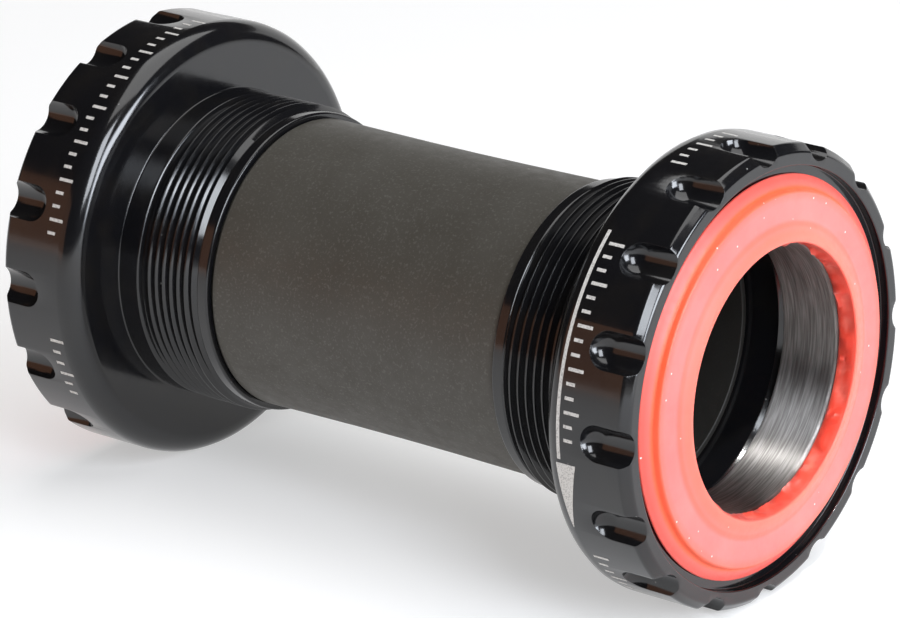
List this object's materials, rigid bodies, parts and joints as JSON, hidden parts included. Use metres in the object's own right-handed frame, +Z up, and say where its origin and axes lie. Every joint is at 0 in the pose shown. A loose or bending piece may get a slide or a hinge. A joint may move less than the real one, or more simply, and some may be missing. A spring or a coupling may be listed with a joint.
{
  "type": "bottom bracket",
  "caption": "Threaded external-cup bottom bracket: two black notched cups joined by a dark sleeve, each with a sealed ball bearing and a red rubber dust seal round the spindle bore.",
  "frame": {"origin": "On the spindle axis, midway between the shell faces of the two cups.", "axes": "+X along the spindle axis to the drive side (right cup), +Y forward on the bicycle, +Z up."},
  "size_m": [0.0878, 0.0496, 0.0496],
  "materials": {
    "anodised_cup": "gloss black anodised",
    "sleeve": "fine matte",
    "seal_rubber": "soft satin",
    "ring_steel": "fine ground",
    "ball_steel": "polished",
    "cage_nylon": "moulded nylon",
    "shield_rubber": "matte"
  },
  "bodies": {
    "sleeve": {"sleeve": "sleeve"},
    "right_cup_unit": {"right_cup": "anodised_cup", "right_bearing_outer_ring": "ring_steel", "right_bearing_inboard_shield": "shield_rubber", "right_bearing_outboard_shield": "shield_rubber"},
    "right_rotor": {"right_bearing_inner_ring": "ring_steel", "right_dust_seal": "seal_rubber"},
    "right_ball_set": {"right_bearing_cage": "cage_nylon", "right_ball_01": "ball_steel", "right_ball_02": "ball_steel", "right_ball_03": "ball_steel", "right_ball_04": "ball_steel", "right_ball_05": "ball_steel", "right_ball_06": "ball_steel", "right_ball_07": "ball_steel", "right_ball_08": "ball_steel", "right_ball_09": "ball_steel", "right_ball_10": "ball_steel", "right_ball_11": "ball_steel", "right_ball_12": "ball_steel", "right_ball_13": "ball_steel", "right_ball_14": "ball_steel", "right_ball_15": "ball_steel", "right_ball_16": "ball_steel"},
    "left_cup_unit": {"left_cup": "anodised_cup", "left_bearing_outer_ring": "ring_steel", "left_bearing_inboard_shield": "shield_rubber", "left_bearing_outboard_shield": "shield_rubber"},
    "left_rotor": {"left_bearing_inner_ring": "ring_steel", "left_dust_seal": "seal_rubber"},
    "left_ball_set": {"left_bearing_cage": "cage_nylon", "left_ball_01": "ball_steel", "left_ball_02": "ball_steel", "left_ball_03": "ball_steel", "left_ball_04": "ball_steel", "left_ball_05": "ball_steel", "left_ball_06": "ball_steel", "left_ball_07": "ball_steel", "left_ball_08": "ball_steel", "left_ball_09": "ball_steel", "left_ball_10": "ball_steel", "left_ball_11": "ball_steel", "left_ball_12": "ball_steel", "left_ball_13": "ball_steel", "left_ball_14": "ball_steel", "left_ball_15": "ball_steel", "left_ball_16": "ball_steel"}
  },
  "joints": [
    {"name": "right_cup_slide", "type": "slide", "parent": "sleeve", "child": "right_cup_unit", "axis": [1, 0, 0], "range_m": [0, 0.0045]},
    {"name": "right_bearing_spin", "type": "hinge", "parent": "right_cup_unit", "child": "right_rotor", "pos_m": [0.03805, 0, 0], "axis": [1, 0, 0], "continuous": true},
    {"name": "right_ball_orbit", "type": "hinge", "parent": "right_cup_unit", "child": "right_ball_set", "pos_m": [0.03805, 0, 0], "axis": [1, 0, 0], "continuous": true},
    {"name": "left_cup_slide", "type": "slide", "parent": "sleeve", "child": "left_cup_unit", "axis": [-1, 0, 0], "range_m": [0, 0.0045]},
    {"name": "left_bearing_spin", "type": "hinge", "parent": "left_cup_unit", "child": "left_rotor", "pos_m": [-0.03805, 0, 0], "axis": [1, 0, 0], "continuous": true},
    {"name": "left_ball_orbit", "type": "hinge", "parent": "left_cup_unit", "child": "left_ball_set", "pos_m": [-0.03805, 0, 0], "axis": [1, 0, 0], "continuous": true}
  ],
  "couplings": [
    {"joint": "right_ball_orbit", "follows": "right_bearing_spin", "ratio": 0.451},
    {"joint": "left_ball_orbit", "follows": "left_bearing_spin", "ratio": 0.451}
  ]
}
